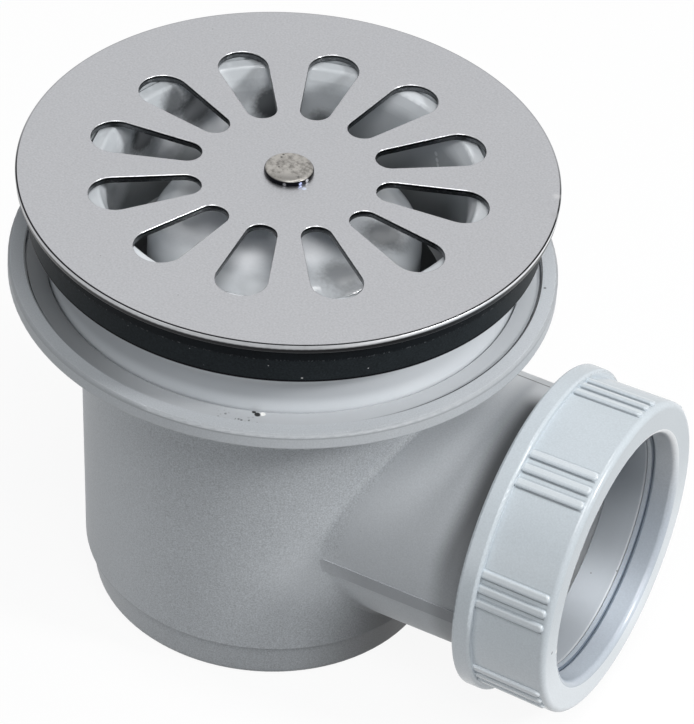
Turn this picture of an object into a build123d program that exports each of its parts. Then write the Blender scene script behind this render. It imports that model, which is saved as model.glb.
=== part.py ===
from build123d import *
import math
import os

# Shower drain with a lift-out bell trap and a side outlet, in millimetres.
# The origin is the centre of the cup's underside, +Z is up and the outlet points along +X.

# Clearances
SEAT_GAP = 0.3
RUNNING_GAP = 0.1
STOP_GAP = 0.05
CUT_PAST = 1.0

# Cup of the trap body
BODY_WALL = 2.0
CUP_TOP_R = 32.15
CUP_DRAFT = 2.25
CUP_FLOOR = 2.5
FOOT_STEP_Z = 7.3
FOOT_STEP = 0.5
FOOT_DRAFT = 1.4
FOOT_EDGE_R = 1.4
THREAD_WALL = 1.6
COLLAR_THREAD_LENGTH = 12.7

# Grate
GRATE_R = 42.5
GRATE_THICK = 1.2
RIM_DEPTH = 1.7
RIM_TAPER = 0.2
RIM_EDGE_R = 0.5
SLOTS = 12
SLOT_FIRST_ANGLE = 14.0
SLOT_OUTER_AT_R = 27.9
SLOT_OUTER_R = 4.07
SLOT_INNER_AT_R = 16.58
SLOT_INNER_R = 2.49

# Clamp collar
GRATE_OVERHANG = 3.5
COLLAR_EDGE = 1.7
SKIRT_WALL = 2.0
COLLAR_HEIGHT = 17.1
COLLAR_RING_THICK = 2.4
COLLAR_TUBE_WALL = 1.05
COLLAR_TUBE_END_GAP = 0.5
LIP_SEAT_WIDTH = 2.6
LIP_SEAT_WALL = 1.4
LIP_DROP = 0.3
KEY_NOTCHES = 4
KEY_NOTCH_WIDTH = 5.0
KEY_NOTCH_REACH = 2.0
KEY_NOTCH_DEPTH = 1.2

# Tray seal
TRAY_SEAL_LIP = 2.0
TRAY_SEAL_DRAFT = 0.8
TRAY_SEAL_HEIGHT = 6.8
TRAY_SEAL_EDGE_R = 0.5

# Flange of the trap body and its gasket
FLANGE_UNDER_Z = 61.1
FLANGE_THICK = 3.0
FLANGE_RIM = 2.65
FLANGE_EDGE_R = 0.5
FLANGE_ROOT_R = 1.2
RECESS_DEPTH = 1.4
GASKET_THICK = 0.9
GASKET_WIDTH = 2.85

# Outlet of the trap body
PIPE_R = 20.0
PIPE_GAP = 0.4
OUTLET_Z = 29.75
OUTLET_WALL = 1.8
OUTLET_ROOT_R = 1.1
THREAD_RISE = 1.8
THREAD_CHAMFER = 0.5
SOCKET_DEPTH = 9.5
SOCKET_STOP = 1.0
RELIEF_RISE = 0.8
SEAL_SEAT_RISE = 1.1
MOUTH_RISE = 2.4
PARTING_WIDTH = 3.0
PARTING_HEIGHT = 0.12
PARTING_THICK = 1.0
PARTING_ANGLE = 10.9

# Union nut
NUT_BACK_X = 46.65
NUT_LENGTH = 15.75
NUT_WALL = 1.9
NUT_BARREL_TAPER = 0.3
NUT_COLLAR_LENGTH = 3.15
NUT_COLLAR_RISE = 1.2
NUT_MOUTH_RISE = 0.5
NUT_LIP = 4.25
NUT_LIP_CHAMFER = 0.5
NUT_EDGE_R = 1.0
NUT_COLLAR_EDGE_R = 0.5
NUT_BACK_GAP = 0.85
RIB_GROUPS = 8
RIBS_IN_GROUP = 3
RIB_FIRST_ANGLE = 29.0
RIB_PITCH_ANGLE = 5.6
RIB_WIDTH = 1.55
RIB_HEIGHT = 0.5
RIB_ROOT = 0.5
RIB_EDGE_R = 0.42
RIB_END_MARGIN = 0.9

# Outlet seal and slip washer
SEAL_LENGTH = 5.95
SEAL_BORE_RISE = 0.1
WASHER_BORE_RISE = 0.2
WASHER_THICK = 0.7
WASHER_PLAY = 0.15
WASHER_SIDE_GAP = 0.5

# Lift-out bowl
BOWL_WALL = 1.0
BOWL_FLOOR = 1.6
BOWL_DEPTH = 16.5
BOWL_NECK_STEP = 2.6
BOWL_DRAFT = 1.8
BOWL_LIP_GAP = 0.4
BOWL_LIP_THICK = 2.9
BOWL_LIP_FLAT = 1.9
BOWL_LIP_EDGE_R = 0.7
FUNNEL_DEPTH = 2.6
FUNNEL_R = 4.0
STANDPIPE_WALL = 1.4
STANDPIPE_GAP = 5.2

# O-ring of the bowl
O_RING_RISE = 3.9
O_RING_SECTION_R = 1.15
O_RING_LAND = 1.2
SHOULDER_RISE = 3.2

# Bell
BELL_PASSAGE = 5.2
BELL_INNER_PASSAGE = 7.2
BELL_WALL = 1.4
BELL_DROP = 7.2
BELL_SKIRT_RISE = 7.0
BELL_CROWN_R = 5.0
BELL_BOSS_R = 4.2
BELL_RIBS = 4
BELL_RIB_FIRST_ANGLE = 45.0
BELL_RIB_THICK = 1.2
BELL_RIB_REACH = 2.2

# Grate pin and its clip
PIN_HEAD_R = 3.9
PIN_HEAD_THICK = 0.95
PIN_HEAD_EDGE_R = 0.6
PIN_SHANK_R = 1.6
PIN_TIP = 2.4
CLIP_WIDTH = 3.0
CLIP_THICK = 0.6

# Radii that follow, from the grate down to the gasket
COLLAR_RING_R = GRATE_R - GRATE_OVERHANG
SKIRT_R = COLLAR_RING_R - COLLAR_EDGE
TRAY_SEAL_TOP_R = COLLAR_RING_R + SEAT_GAP + TRAY_SEAL_LIP
TRAY_SEAL_LOW_R = TRAY_SEAL_TOP_R - TRAY_SEAL_DRAFT
GASKET_BORE_R = SKIRT_R + SEAT_GAP
GASKET_R = GASKET_BORE_R + GASKET_WIDTH
RECESS_R = GASKET_R + SEAT_GAP
FLANGE_R = RECESS_R + FLANGE_RIM

# Radii that follow, from the cup in to the standpipe
CUP_LOW_R = CUP_TOP_R - CUP_DRAFT
FOOT_TOP_R = CUP_LOW_R - FOOT_STEP
FOOT_LOW_R = FOOT_TOP_R - FOOT_DRAFT
COLLAR_THREAD_R = CUP_TOP_R - THREAD_WALL
COLLAR_TUBE_R = COLLAR_THREAD_R - RUNNING_GAP
COLLAR_BORE_R = COLLAR_TUBE_R - COLLAR_TUBE_WALL
LIP_SEAT_R = COLLAR_BORE_R + LIP_SEAT_WIDTH
BOWL_R = COLLAR_BORE_R - 2 * RUNNING_GAP
BOWL_LIP_R = LIP_SEAT_R - BOWL_LIP_GAP
BOWL_NECK_R = COLLAR_BORE_R - BOWL_NECK_STEP
BOWL_LOW_R = BOWL_NECK_R - BOWL_DRAFT
BELL_R = BOWL_NECK_R - BELL_PASSAGE
BELL_INNER_R = BELL_R - BELL_WALL
STANDPIPE_R = BELL_INNER_R - BELL_INNER_PASSAGE

# Heights that follow
FLANGE_TOP_Z = FLANGE_UNDER_Z + FLANGE_THICK
RECESS_Z = FLANGE_TOP_Z - RECESS_DEPTH
THREAD_END_Z = RECESS_Z - COLLAR_THREAD_LENGTH
COLLAR_TOP_Z = RECESS_Z + COLLAR_HEIGHT
COLLAR_RING_Z = COLLAR_TOP_Z - COLLAR_RING_THICK
BOWL_TOP_Z = COLLAR_TOP_Z - LIP_DROP
LIP_SEAT_Z = BOWL_TOP_Z - BOWL_LIP_THICK
COLLAR_TUBE_END_Z = THREAD_END_Z + COLLAR_TUBE_END_GAP
GRATE_TOP_Z = COLLAR_TOP_Z + GRATE_THICK
RIM_Z = GRATE_TOP_Z - RIM_DEPTH
TRAY_SEAL_TOP_Z = RIM_Z - SEAT_GAP
TRAY_SEAL_LOW_Z = TRAY_SEAL_TOP_Z - TRAY_SEAL_HEIGHT
O_RING_Z = COLLAR_TUBE_END_Z + O_RING_RISE
BOWL_SHOULDER_Z = O_RING_Z + SHOULDER_RISE
BOWL_FLOOR_Z = COLLAR_TUBE_END_Z - BOWL_DEPTH
BELL_TOP_Z = COLLAR_TOP_Z - BELL_DROP
BELL_CROWN_UNDER_Z = BELL_TOP_Z - BELL_WALL
BELL_LOW_Z = BOWL_FLOOR_Z + BELL_SKIRT_RISE
STANDPIPE_TOP_Z = BELL_CROWN_UNDER_Z - STANDPIPE_GAP

# Radii and lengths that follow along the outlet
SOCKET_R = PIPE_R + PIPE_GAP
WATERWAY_R = SOCKET_R - SOCKET_STOP
OUTLET_R = SOCKET_R + OUTLET_WALL
THREAD_R = OUTLET_R + THREAD_RISE
RELIEF_R = SOCKET_R + RELIEF_RISE
SEAL_SEAT_R = SOCKET_R + SEAL_SEAT_RISE
MOUTH_R = SOCKET_R + MOUTH_RISE
SEAL_BORE_R = SOCKET_R + SEAL_BORE_RISE
WASHER_BORE_R = SOCKET_R + WASHER_BORE_RISE
NUT_THREAD_R = THREAD_R + RUNNING_GAP
WASHER_R = NUT_THREAD_R - WASHER_SIDE_GAP
NUT_BARREL_R = NUT_THREAD_R + NUT_WALL
NUT_COLLAR_R = NUT_BARREL_R + NUT_COLLAR_RISE
NUT_MOUTH_R = SOCKET_R + NUT_MOUTH_RISE
NUT_FRONT_X = NUT_BACK_X + NUT_LENGTH
NUT_LIP_X = NUT_FRONT_X - NUT_LIP
WASHER_FRONT_X = NUT_LIP_X - STOP_GAP
WASHER_BACK_X = WASHER_FRONT_X - WASHER_THICK
OUTLET_END_X = WASHER_BACK_X - WASHER_PLAY
SEAL_BACK_X = OUTLET_END_X - SEAL_LENGTH
THREAD_START_X = NUT_BACK_X + NUT_BACK_GAP
SOCKET_STOP_X = THREAD_START_X - SOCKET_DEPTH


def ring_of(points):
    """Solid of revolution about Z of a closed outline given as (radius, height)."""
    outline = make_face(Polyline(*[(r, 0, z) for r, z in points], close=True))
    return revolve(outline, Axis.Z, 360)


def along_outlet(points):
    """Solid of revolution about the outlet's axis, outline given as (x, radius)."""
    outline = make_face(Polyline(*[(x, 0, OUTLET_Z + r) for x, r in points], close=True))
    return revolve(outline, Axis((0, 0, OUTLET_Z), (1, 0, 0)), 360)


def tube(outer, inner, low, high):
    """Upright tube between two heights."""
    return ring_of([(inner, low), (outer, low), (outer, high), (inner, high)])


def disc(radius, low, high):
    """Upright disc between two heights."""
    return Pos(0, 0, low) * Cylinder(radius, high - low, align=(Align.CENTER, Align.CENTER, Align.MIN))


def circles_at(solid, radius, height):
    """Circular edges of a solid about Z with one radius and height."""
    found = []
    for edge in solid.edges().filter_by(GeomType.CIRCLE):
        centre = edge.arc_center
        if abs(edge.radius - radius) < 1e-3 and abs(centre.Z - height) < 1e-3:
            found.append(edge)
    return found


def cup_outer_r(z):
    """Drafted outside radius of the cup at a height."""
    share = (z - FOOT_STEP_Z) / (FLANGE_UNDER_Z - FOOT_STEP_Z)
    return CUP_LOW_R + (CUP_TOP_R - CUP_LOW_R) * share


def cup_outside():
    """Drafted cup with its flange and filleted outlet, before the foot is stepped."""
    cup = ring_of([
        (0, 0),
        (cup_outer_r(0), 0),
        (CUP_TOP_R, FLANGE_UNDER_Z),
        (FLANGE_R, FLANGE_UNDER_Z),
        (FLANGE_R, FLANGE_TOP_Z),
        (0, FLANGE_TOP_Z),
    ])
    cup = fillet(circles_at(cup, FLANGE_R, FLANGE_TOP_Z), FLANGE_EDGE_R)
    cup = fillet(circles_at(cup, FLANGE_R, FLANGE_UNDER_Z), FLANGE_EDGE_R)
    cup = fillet(circles_at(cup, CUP_TOP_R, FLANGE_UNDER_Z), FLANGE_ROOT_R)
    pipe = along_outlet([
        (0, 0),
        (OUTLET_END_X, 0),
        (OUTLET_END_X, OUTLET_R),
        (0, OUTLET_R),
    ])
    joined = cup + pipe
    root = []
    for edge in joined.edges():
        middle = edge @ 0.5
        off_axis = math.hypot(middle.Y, middle.Z - OUTLET_Z)
        if abs(off_axis - OUTLET_R) < 0.01 and 0 < middle.X < CUP_TOP_R + CUT_PAST:
            root.append(edge)
    return fillet(root, OUTLET_ROOT_R)


def foot_cut():
    """Ring that steps and drafts the foot below the cup."""
    return ring_of([
        (FOOT_LOW_R, -CUT_PAST),
        (FLANGE_R, -CUT_PAST),
        (FLANGE_R, FOOT_STEP_Z),
        (FOOT_TOP_R, FOOT_STEP_Z),
        (FOOT_LOW_R, 0),
    ])


def outlet_thread():
    """Thicker threaded end of the outlet with a lead-in at its mouth."""
    return along_outlet([
        (THREAD_START_X, 0),
        (THREAD_START_X, THREAD_R),
        (OUTLET_END_X - THREAD_CHAMFER, THREAD_R),
        (OUTLET_END_X, THREAD_R - THREAD_CHAMFER),
        (OUTLET_END_X, 0),
    ])


def outlet_bore():
    """Waterway, pipe socket, relief and conical mouth cut through the outlet."""
    return along_outlet([
        (0, 0),
        (0, WATERWAY_R),
        (SOCKET_STOP_X, WATERWAY_R),
        (SOCKET_STOP_X, SOCKET_R),
        (THREAD_START_X, SOCKET_R),
        (THREAD_START_X, RELIEF_R),
        (SEAL_BACK_X, RELIEF_R),
        (SEAL_BACK_X, SEAL_SEAT_R),
        (OUTLET_END_X, MOUTH_R),
        (OUTLET_END_X + CUT_PAST, MOUTH_R),
        (OUTLET_END_X + CUT_PAST, 0),
    ])


def parting_strips():
    """Low flats left by the mould along both sides of the outlet pipe."""
    strips = []
    reach = OUTLET_R + PARTING_HEIGHT
    for side in (-1, 1):
        strip = Box(
            THREAD_START_X - WATERWAY_R,
            PARTING_THICK,
            PARTING_WIDTH,
            align=(Align.MIN, Align.MAX, Align.CENTER),
        )
        strip = Pos(WATERWAY_R, reach, 0) * strip
        turn = PARTING_ANGLE if side < 0 else -PARTING_ANGLE
        strip = Rot(turn, 0, 0) * (strip if side > 0 else mirror(strip, Plane.XZ))
        strips.append(Pos(0, 0, OUTLET_Z) * strip)
    return strips


def trap_body():
    """One grey moulding: cup, stepped foot, flange and threaded outlet."""
    body = cup_outside() - foot_cut()
    body = fillet(circles_at(body, FOOT_LOW_R, 0), FOOT_EDGE_R)
    for strip in parting_strips():
        body += strip
    body += outlet_thread()
    low_inner = CUP_LOW_R - BODY_WALL - FOOT_DRAFT
    thread_inner = cup_outer_r(THREAD_END_Z) - BODY_WALL
    body -= ring_of([
        (0, CUP_FLOOR),
        (low_inner, CUP_FLOOR),
        (thread_inner, THREAD_END_Z),
        (COLLAR_THREAD_R, THREAD_END_Z),
        (COLLAR_THREAD_R, RECESS_Z),
        (RECESS_R, RECESS_Z),
        (RECESS_R, FLANGE_TOP_Z + CUT_PAST),
        (0, FLANGE_TOP_Z + CUT_PAST),
    ])
    return body - outlet_bore()


def outlet_seal():
    """Conical ring that the nut presses into the outlet's mouth."""
    return along_outlet([
        (SEAL_BACK_X, SEAL_BORE_R),
        (OUTLET_END_X, SEAL_BORE_R),
        (OUTLET_END_X, MOUTH_R - SEAT_GAP),
        (SEAL_BACK_X, SEAL_SEAT_R - SEAT_GAP),
    ])


def slip_washer():
    """Thin ring that lets the nut turn without dragging the seal."""
    return along_outlet([
        (WASHER_BACK_X, WASHER_BORE_R),
        (WASHER_FRONT_X, WASHER_BORE_R),
        (WASHER_FRONT_X, WASHER_R),
        (WASHER_BACK_X, WASHER_R),
    ])


def nut_rib():
    """One rounded grip rib that follows the taper on top of the nut's barrel."""
    barrel = NUT_LENGTH - NUT_COLLAR_LENGTH
    length = barrel - RIB_END_MARGIN + RIB_ROOT
    rib = extrude(SlotOverall(length, RIB_WIDTH), RIB_HEIGHT + RIB_ROOT)
    rib = fillet(rib.edges().group_by(Axis.Z)[-1], RIB_EDGE_R)
    rib = Pos(length / 2 - RIB_ROOT, 0, -RIB_ROOT) * rib
    lean = math.degrees(math.atan2(NUT_BARREL_TAPER, barrel))
    return Pos(NUT_BACK_X + NUT_COLLAR_LENGTH, 0, NUT_BARREL_R) * Rot(0, -lean, 0) * rib


def union_nut():
    """Pale nut with a stepped collar, grip ribs and an inward lip."""
    nut = along_outlet([
        (NUT_BACK_X, NUT_THREAD_R),
        (NUT_BACK_X, NUT_COLLAR_R),
        (NUT_BACK_X + NUT_COLLAR_LENGTH, NUT_COLLAR_R),
        (NUT_BACK_X + NUT_COLLAR_LENGTH, NUT_BARREL_R),
        (NUT_FRONT_X, NUT_BARREL_R + NUT_BARREL_TAPER),
        (NUT_FRONT_X, NUT_MOUTH_R),
        (NUT_LIP_X + NUT_LIP_CHAMFER, NUT_MOUTH_R),
        (NUT_LIP_X, NUT_MOUTH_R + NUT_LIP_CHAMFER),
        (NUT_LIP_X, NUT_THREAD_R),
    ])
    rims = [e for e in nut.edges().filter_by(GeomType.CIRCLE) if abs(e.arc_center.X - NUT_FRONT_X) < 1e-3]
    nut = fillet(rims, NUT_EDGE_R)
    steps = [e for e in nut.edges().filter_by(GeomType.CIRCLE) if abs(e.radius - NUT_COLLAR_R) < 1e-3]
    nut = fillet(steps, NUT_COLLAR_EDGE_R)
    rib = nut_rib()
    middle = (RIBS_IN_GROUP - 1) / 2
    for group in range(RIB_GROUPS):
        for place in range(RIBS_IN_GROUP):
            angle = RIB_FIRST_ANGLE + group * 360 / RIB_GROUPS + (place - middle) * RIB_PITCH_ANGLE
            nut += Pos(0, 0, OUTLET_Z) * Rot(angle - 90, 0, 0) * rib
    return nut


def flange_gasket():
    """Flat ring in the flange recess, under the shower tray."""
    return tube(GASKET_R, GASKET_BORE_R, RECESS_Z, RECESS_Z + GASKET_THICK)


def clamp_collar():
    """White collar: ring flange, outer skirt and inner threaded tube."""
    inner = SKIRT_R - SKIRT_WALL
    foot = RECESS_Z + STOP_GAP
    seat_out = LIP_SEAT_R + LIP_SEAT_WALL
    seat_under = LIP_SEAT_Z - LIP_SEAT_WALL
    collar = ring_of([
        (COLLAR_BORE_R, COLLAR_TUBE_END_Z),
        (COLLAR_TUBE_R, COLLAR_TUBE_END_Z),
        (COLLAR_TUBE_R, seat_under),
        (seat_out, seat_under),
        (seat_out, COLLAR_RING_Z),
        (inner, COLLAR_RING_Z),
        (inner, foot),
        (SKIRT_R, foot),
        (SKIRT_R, COLLAR_RING_Z),
        (COLLAR_RING_R, COLLAR_RING_Z),
        (COLLAR_RING_R, COLLAR_TOP_Z),
        (LIP_SEAT_R, COLLAR_TOP_Z),
        (LIP_SEAT_R, LIP_SEAT_Z),
        (COLLAR_BORE_R, LIP_SEAT_Z),
    ])
    notch = Box(
        LIP_SEAT_R + KEY_NOTCH_REACH,
        KEY_NOTCH_WIDTH,
        KEY_NOTCH_DEPTH,
        align=(Align.MIN, Align.CENTER, Align.MAX),
    )
    for index in range(KEY_NOTCHES):
        collar -= Rot(0, 0, index * 360 / KEY_NOTCHES) * Pos(0, 0, COLLAR_TOP_Z) * notch
    return collar


def tray_seal():
    """Black L-section ring round the collar's flange, pressed on the tray."""
    ledge = COLLAR_RING_Z - SEAT_GAP
    seal = ring_of([
        (SKIRT_R + SEAT_GAP, TRAY_SEAL_LOW_Z),
        (TRAY_SEAL_LOW_R, TRAY_SEAL_LOW_Z),
        (TRAY_SEAL_TOP_R, TRAY_SEAL_TOP_Z),
        (COLLAR_RING_R + SEAT_GAP, TRAY_SEAL_TOP_Z),
        (COLLAR_RING_R + SEAT_GAP, ledge),
        (SKIRT_R + SEAT_GAP, ledge),
    ])
    return fillet(circles_at(seal, TRAY_SEAL_LOW_R, TRAY_SEAL_LOW_Z), TRAY_SEAL_EDGE_R)


def trap_bowl():
    """Lift-out bowl: funnelled rim lip, drafted wall, O-ring lands and standpipe."""
    inner = BOWL_R - BOWL_WALL
    neck = BOWL_NECK_R - BOWL_WALL
    shoulder = BOWL_SHOULDER_Z + BOWL_WALL
    shelf = shoulder + BOWL_WALL
    mouth = BOWL_LIP_R - BOWL_LIP_FLAT
    throat = BOWL_TOP_Z - FUNNEL_DEPTH
    shell = ring_of([
        (STANDPIPE_R - STANDPIPE_WALL, BOWL_FLOOR_Z),
        (BOWL_LOW_R, BOWL_FLOOR_Z),
        (BOWL_NECK_R, O_RING_Z),
        (BOWL_NECK_R, BOWL_SHOULDER_Z),
        (BOWL_R, shoulder),
        (BOWL_R, LIP_SEAT_Z),
        (BOWL_LIP_R, LIP_SEAT_Z),
        (BOWL_LIP_R, BOWL_TOP_Z),
        (mouth, BOWL_TOP_Z),
        (inner, throat),
        (inner, shelf),
        (neck, shoulder),
        (neck, O_RING_Z),
        (BOWL_LOW_R - BOWL_WALL, BOWL_FLOOR_Z + BOWL_FLOOR),
        (STANDPIPE_R, BOWL_FLOOR_Z + BOWL_FLOOR),
        (STANDPIPE_R, STANDPIPE_TOP_Z),
        (STANDPIPE_R - STANDPIPE_WALL, STANDPIPE_TOP_Z),
    ])
    shell = fillet(circles_at(shell, mouth, BOWL_TOP_Z), BOWL_LIP_EDGE_R)
    shell = fillet(circles_at(shell, inner, throat), FUNNEL_R)
    room = O_RING_SECTION_R + RUNNING_GAP
    for low in (O_RING_Z - room - O_RING_LAND, O_RING_Z + room):
        shell += tube(BOWL_R, BOWL_NECK_R - BOWL_WALL / 2, low, low + O_RING_LAND)
    return shell


def bowl_o_ring():
    """Ring of round section between the bowl's lands and the collar tube."""
    middle = (COLLAR_BORE_R + BOWL_NECK_R) / 2
    return Pos(0, 0, O_RING_Z) * Torus(middle, O_RING_SECTION_R)


def bell():
    """White bell: rounded crown, open skirt, boss up to the grate and inner ribs."""
    dome = disc(BELL_R, BELL_LOW_Z, BELL_TOP_Z)
    dome = fillet(circles_at(dome, BELL_R, BELL_TOP_Z), BELL_CROWN_R)
    hollow = disc(BELL_INNER_R, BELL_LOW_Z - CUT_PAST, BELL_CROWN_UNDER_Z)
    hollow = fillet(circles_at(hollow, BELL_INNER_R, BELL_CROWN_UNDER_Z), BELL_CROWN_R - BELL_WALL)
    shell = dome - hollow + disc(BELL_BOSS_R, BELL_CROWN_UNDER_Z, COLLAR_TOP_Z)
    height = BELL_CROWN_UNDER_Z - BELL_CROWN_R - BELL_LOW_Z
    rib = Box(
        BELL_RIB_REACH + BELL_WALL / 2,
        BELL_RIB_THICK,
        height,
        align=(Align.MAX, Align.CENTER, Align.MIN),
    )
    rib = Pos(BELL_INNER_R + BELL_WALL / 2, 0, BELL_LOW_Z) * rib
    for index in range(BELL_RIBS):
        shell += Rot(0, 0, BELL_RIB_FIRST_ANGLE + index * 360 / BELL_RIBS) * rib
    return shell - disc(PIN_SHANK_R + RUNNING_GAP, BELL_LOW_Z, GRATE_TOP_Z)


def slot_outline():
    """Tapered slot along +X: two arcs of different radius joined by tangents."""
    span = SLOT_OUTER_AT_R - SLOT_INNER_AT_R
    lean = math.acos((SLOT_OUTER_R - SLOT_INNER_R) / span)

    def on_outer(angle):
        return (SLOT_OUTER_AT_R + SLOT_OUTER_R * math.cos(angle), SLOT_OUTER_R * math.sin(angle))

    def on_inner(angle):
        return (SLOT_INNER_AT_R + SLOT_INNER_R * math.cos(angle), SLOT_INNER_R * math.sin(angle))

    tangent = math.pi - lean
    far = ThreePointArc(on_outer(tangent), on_outer(0), on_outer(-tangent))
    low = Line(on_outer(-tangent), on_inner(-tangent))
    near = ThreePointArc(on_inner(-tangent), on_inner(math.pi), on_inner(tangent))
    high = Line(on_inner(tangent), on_outer(tangent))
    return make_face([far, low, near, high])


def grate():
    """Pressed stainless disc with twelve tapered slots and a turned-down rim."""
    inner = GRATE_R - GRATE_THICK
    sheet = ring_of([
        (PIN_SHANK_R + RUNNING_GAP, COLLAR_TOP_Z),
        (inner, COLLAR_TOP_Z),
        (inner, RIM_Z),
        (GRATE_R - RIM_TAPER, RIM_Z),
        (GRATE_R, GRATE_TOP_Z),
        (PIN_SHANK_R + RUNNING_GAP, GRATE_TOP_Z),
    ])
    sheet = fillet(circles_at(sheet, GRATE_R, GRATE_TOP_Z), RIM_EDGE_R)
    slot = Pos(0, 0, COLLAR_TOP_Z - CUT_PAST) * extrude(slot_outline(), GRATE_THICK + 2 * CUT_PAST)
    for index in range(SLOTS):
        sheet -= Rot(0, 0, SLOT_FIRST_ANGLE + index * 360 / SLOTS) * slot
    return sheet


def grate_pin():
    """Button-headed pin through grate and bell, grooved by its clip."""
    tip_z = BELL_CROWN_UNDER_Z - CLIP_THICK - PIN_TIP
    pin = disc(PIN_SHANK_R, tip_z, GRATE_TOP_Z)
    head = disc(PIN_HEAD_R, GRATE_TOP_Z, GRATE_TOP_Z + PIN_HEAD_THICK)
    head = fillet(circles_at(head, PIN_HEAD_R, GRATE_TOP_Z + PIN_HEAD_THICK), PIN_HEAD_EDGE_R)
    return pin + head


def pin_clip():
    """Push-on ring that holds the pin under the bell's crown."""
    high = BELL_CROWN_UNDER_Z
    return tube(PIN_SHANK_R + CLIP_WIDTH, PIN_SHANK_R + RUNNING_GAP / 2, high - CLIP_THICK, high)


def write(solid, name):
    """One STEP file for one piece."""
    solid.label = name
    export_step(solid, os.path.join("parts", name + ".step"))


os.makedirs("parts", exist_ok=True)
write(grate(), "grate")
write(grate_pin(), "grate_pin")
write(pin_clip(), "pin_clip")
write(bell(), "bell")
write(tray_seal(), "tray_seal")
write(clamp_collar(), "clamp_collar")
write(trap_bowl(), "trap_bowl")
write(bowl_o_ring(), "bowl_o_ring")
write(flange_gasket(), "flange_gasket")
write(trap_body(), "trap_body")
write(outlet_seal(), "outlet_seal")
write(slip_washer(), "slip_washer")
write(union_nut(), "union_nut")
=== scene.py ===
import math

import bmesh
import bpy
from mathutils import Matrix, Vector


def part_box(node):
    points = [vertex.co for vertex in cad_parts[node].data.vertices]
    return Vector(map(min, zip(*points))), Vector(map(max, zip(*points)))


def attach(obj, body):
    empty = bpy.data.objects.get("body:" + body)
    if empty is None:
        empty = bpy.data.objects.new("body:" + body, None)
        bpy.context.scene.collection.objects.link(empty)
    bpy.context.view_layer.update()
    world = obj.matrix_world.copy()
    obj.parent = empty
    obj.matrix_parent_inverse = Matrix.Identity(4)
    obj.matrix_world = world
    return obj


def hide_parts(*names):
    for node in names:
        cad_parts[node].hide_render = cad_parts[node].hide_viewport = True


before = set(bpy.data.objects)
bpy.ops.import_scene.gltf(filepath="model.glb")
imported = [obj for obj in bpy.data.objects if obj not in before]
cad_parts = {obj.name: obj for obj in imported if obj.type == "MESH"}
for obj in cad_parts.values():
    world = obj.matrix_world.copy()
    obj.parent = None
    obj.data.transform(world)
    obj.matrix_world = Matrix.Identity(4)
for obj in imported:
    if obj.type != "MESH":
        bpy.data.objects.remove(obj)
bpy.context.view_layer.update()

# All sizes and places below are in millimetres and are scaled to metres when a piece is finished
MM = 0.001
X, Z = 0, 2


def low(node, axis):
    """Lowest coordinate of a CAD node along one axis, in millimetres."""
    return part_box(node)[0][axis] / MM


def high(node, axis):
    """Highest coordinate of a CAD node along one axis, in millimetres."""
    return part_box(node)[1][axis] / MM


# Heights, reaches and radii read from the frame
PLATE_TOP = high("grate", Z)
RIM_LOW = low("grate", Z)
PLATE_UNDER = high("clamp_collar", Z)
PIN_TOP = high("grate_pin", Z)
PIN_SIDE_Z = PIN_TOP - 0.65
SEAL_TOP = high("tray_seal", Z)
SEAL_LOW = low("tray_seal", Z)
SEAL_TOP_R = high("tray_seal", X)
GASKET_TOP = high("flange_gasket", Z)
FLANGE_TOP = high("trap_body", Z)
OUTLET_Z = (high("union_nut", Z) + low("union_nut", Z)) / 2
NUT_BACK = low("union_nut", X)
NUT_FRONT = high("union_nut", X)
WASHER_LIP_X = high("slip_washer", X)
SEAL_FACE_X = high("outlet_seal", X)
SOCKET_GAP_X = low("outlet_seal", X) - 1.9
MOUTH_Z = PLATE_UNDER - 1.6

# The grate's sheet and its slots
GRATE_R = 42.5
SHEET = PLATE_TOP - PLATE_UNDER
RIM_TAPER = 0.2
RIM_EDGE_R = 0.24
RIM_SHOULDER = 0.35
RIM_CHAMFER = 0.12
RIM_FOOT = 0.15
RIM_LINE_R = 42.2
RIM_LINE_WIDTH = 0.22
SLOTS = 12
SLOT_FIRST_ANGLE = math.radians(14.0)
SLOT_OUTER_AT_R = 27.9
SLOT_OUTER_R = 4.07
SLOT_INNER_AT_R = 16.58
SLOT_INNER_R = 2.49
SLOT_EDGE = 0.1
PIN_HOLE_R = 1.7

# The seal's section
SEAL_LEDGE_Z = SEAL_TOP - 1.9
SEAL_INNER_TOP_R = SEAL_TOP_R - 2.0
SEAL_INNER_LOW_R = SEAL_TOP_R - 3.7
SEAL_LOW_R = SEAL_TOP_R - 0.8
SEAL_EDGE_R = 0.15
SEAL_CREST_R = 0.2

# Places on the grey body that its material marks
CUP_SHELL_R = 31.8
CUP_BLEND_R = 33.8
CUP_WALL_R = 31.6
FOOT_WALL_R = 31.5
CUP_TOP_Z = 61.0
FOOT_STEP_Z = 7.3
SEAM_R = 40.75
BEVEL_FROM_R = 42.4
SOCKET_WALL_R = 21.3
SOCKET_FROM_X = 36.0
PIPE_INNER_R = 21.6
PIPE_OUTER_R = 23.2
PIPE_FROM_X = 30.0
CROWN_LINE_Y = 10.0
STRIP_ANGLE = math.radians(190.9)
STRIP_FROM_X = 18.0

# Places on the white parts, the gasket and the nut that their materials mark
DRAIN_INSIDE_R = 36.0
SKIRT_FROM_R = 36.5
DEEP_Z = 58.0
MOUTH_R = 28.2
SMUDGES = [
    ((10.2, -37.9, GASKET_TOP), 1.5),
    ((12.7, -37.8, GASKET_TOP), 1.3),
    ((14.0, -37.6, GASKET_TOP), 1.3),
    ((15.2, -36.9, GASKET_TOP), 1.3),
]
OUTLET_PARTS_X = 45.0
NUT_BORE_R = 21.8
RIB_FROM_R = 25.0
RIB_GROUPS = 8
RIBS_IN_GROUP = 3
RIB_FIRST_ANGLE = 29.0
RIB_PITCH_ANGLE = 5.6
RIB_START = NUT_BACK + 3.5
RIB_END = NUT_FRONT - 1.2

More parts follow.
